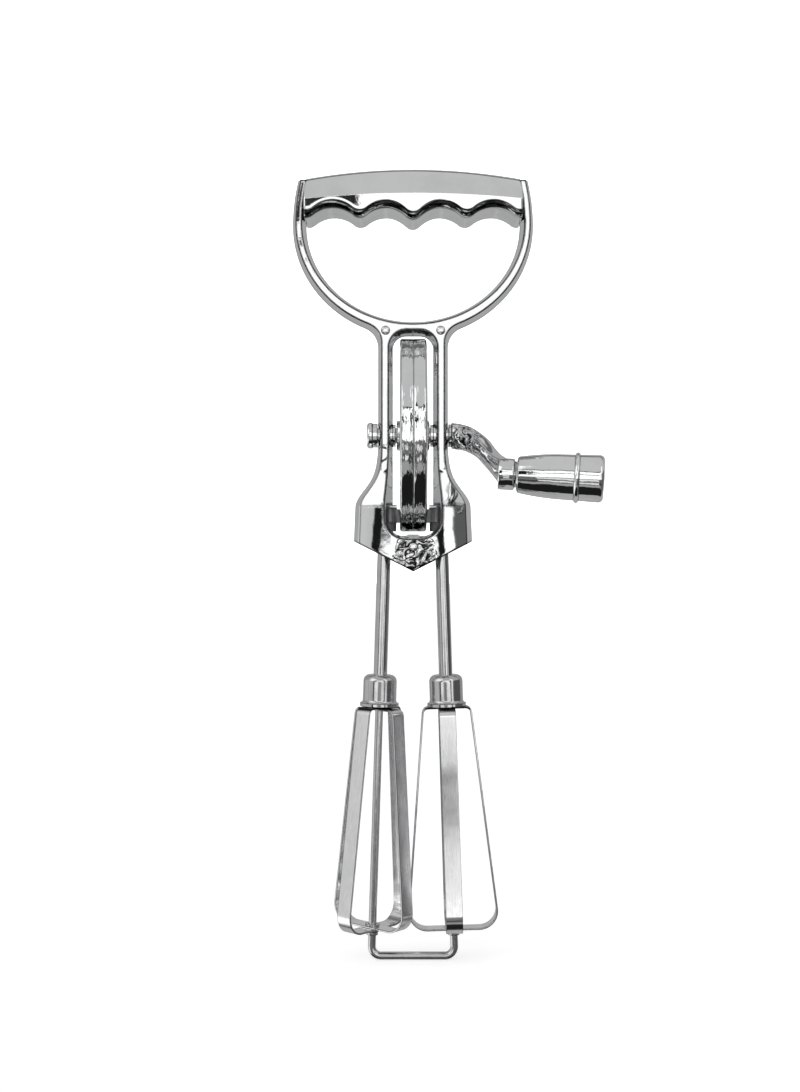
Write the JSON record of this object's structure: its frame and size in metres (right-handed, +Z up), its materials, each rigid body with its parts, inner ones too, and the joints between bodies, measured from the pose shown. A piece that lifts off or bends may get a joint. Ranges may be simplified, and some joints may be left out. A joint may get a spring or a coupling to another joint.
{
  "type": "rotary egg beater",
  "caption": "Chromed rotary hand egg beater: D handle with finger grip, side crank, drive wheel in a slotted frame, twin splayed beaters of steel loops on a U foot wire.",
  "frame": {"origin": "middle of the hand grip, on the parting plane between its two halves", "axes": "+Z up from the foot wire to the grip, -Y the front face, +X the crank side"},
  "size_m": [0.1181, 0.0846, 0.3099],
  "materials": {
    "frame_chrome": "mirror chrome plate",
    "grip_chrome": "mirror chrome plate",
    "wheel_chrome": "mirror chrome plate",
    "crank_chrome": "mirror chrome plate",
    "knob_chrome": "mirror chrome plate",
    "bush_chrome": "mirror chrome plate",
    "wire_steel": "bright drawn wire",
    "rivet_steel": "satin rivet head",
    "axle_steel": "turned steel",
    "tube_steel": "bright drawn tube",
    "ferrule_steel": "satin stainless steel",
    "blade_steel": "bright rolled stainless strip",
    "pinion_nylon": "moulded nylon",
    "bearing_plastic": "moulded acetal"
  },
  "bodies": {
    "frame": {"front_frame_shell": "frame_chrome", "rear_frame_shell": "frame_chrome", "grip_front_half": "grip_chrome", "grip_rear_half": "grip_chrome", "support_wire": "wire_steel", "upper_left_rivet": "rivet_steel", "upper_right_rivet": "rivet_steel", "lower_rivet": "rivet_steel", "left_axle_bush": "bush_chrome", "right_axle_bush": "bush_chrome", "left_thrust_washer": "bearing_plastic", "right_thrust_washer": "bearing_plastic", "left_guide_bush": "bearing_plastic", "right_guide_bush": "bearing_plastic"},
    "crank": {"axle": "axle_steel", "axle_end_cap": "crank_chrome", "axle_washer": "crank_chrome", "drive_wheel_left_half": "wheel_chrome", "drive_wheel_right_half": "wheel_chrome", "crank_collar": "crank_chrome", "crank_arm": "crank_chrome", "crank_arm_pin": "axle_steel", "knob_pin": "axle_steel", "knob_washer": "crank_chrome"},
    "knob": {"knob_body": "knob_chrome", "knob_end_cap": "knob_chrome"},
    "left_beater": {"left_pinion": "pinion_nylon", "left_shaft_tube": "tube_steel", "left_ferrule": "ferrule_steel", "left_ferrule_plug": "bearing_plastic", "left_outer_blade_loop": "blade_steel", "left_inner_blade_loop": "blade_steel", "left_bottom_eyelet": "ferrule_steel"},
    "right_beater": {"right_pinion": "pinion_nylon", "right_shaft_tube": "tube_steel", "right_ferrule": "ferrule_steel", "right_ferrule_plug": "bearing_plastic", "right_outer_blade_loop": "blade_steel", "right_inner_blade_loop": "blade_steel", "right_bottom_eyelet": "ferrule_steel"}
  },
  "joints": [
    {"name": "crank_spin", "type": "hinge", "parent": "frame", "child": "crank", "pos_m": [0, 0, -0.0943], "axis": [1, 0, 0], "continuous": true},
    {"name": "knob_spin", "type": "hinge", "parent": "crank", "child": "knob", "pos_m": [0.03435, -0.03415, -0.11096], "axis": [0.9914, -0.1173, -0.0572], "continuous": true},
    {"name": "left_beater_spin", "type": "hinge", "parent": "frame", "child": "left_beater", "pos_m": [-0.00988, 0, -0.0943], "axis": [0.0314, 0, 0.9995], "continuous": true},
    {"name": "right_beater_spin", "type": "hinge", "parent": "frame", "child": "right_beater", "pos_m": [0.00988, 0, -0.0943], "axis": [-0.0314, 0, 0.9995], "continuous": true}
  ],
  "couplings": [
    {"joint": "left_beater_spin", "follows": "crank_spin", "ratio": 4.5},
    {"joint": "right_beater_spin", "follows": "crank_spin", "ratio": -4.5}
  ]
}
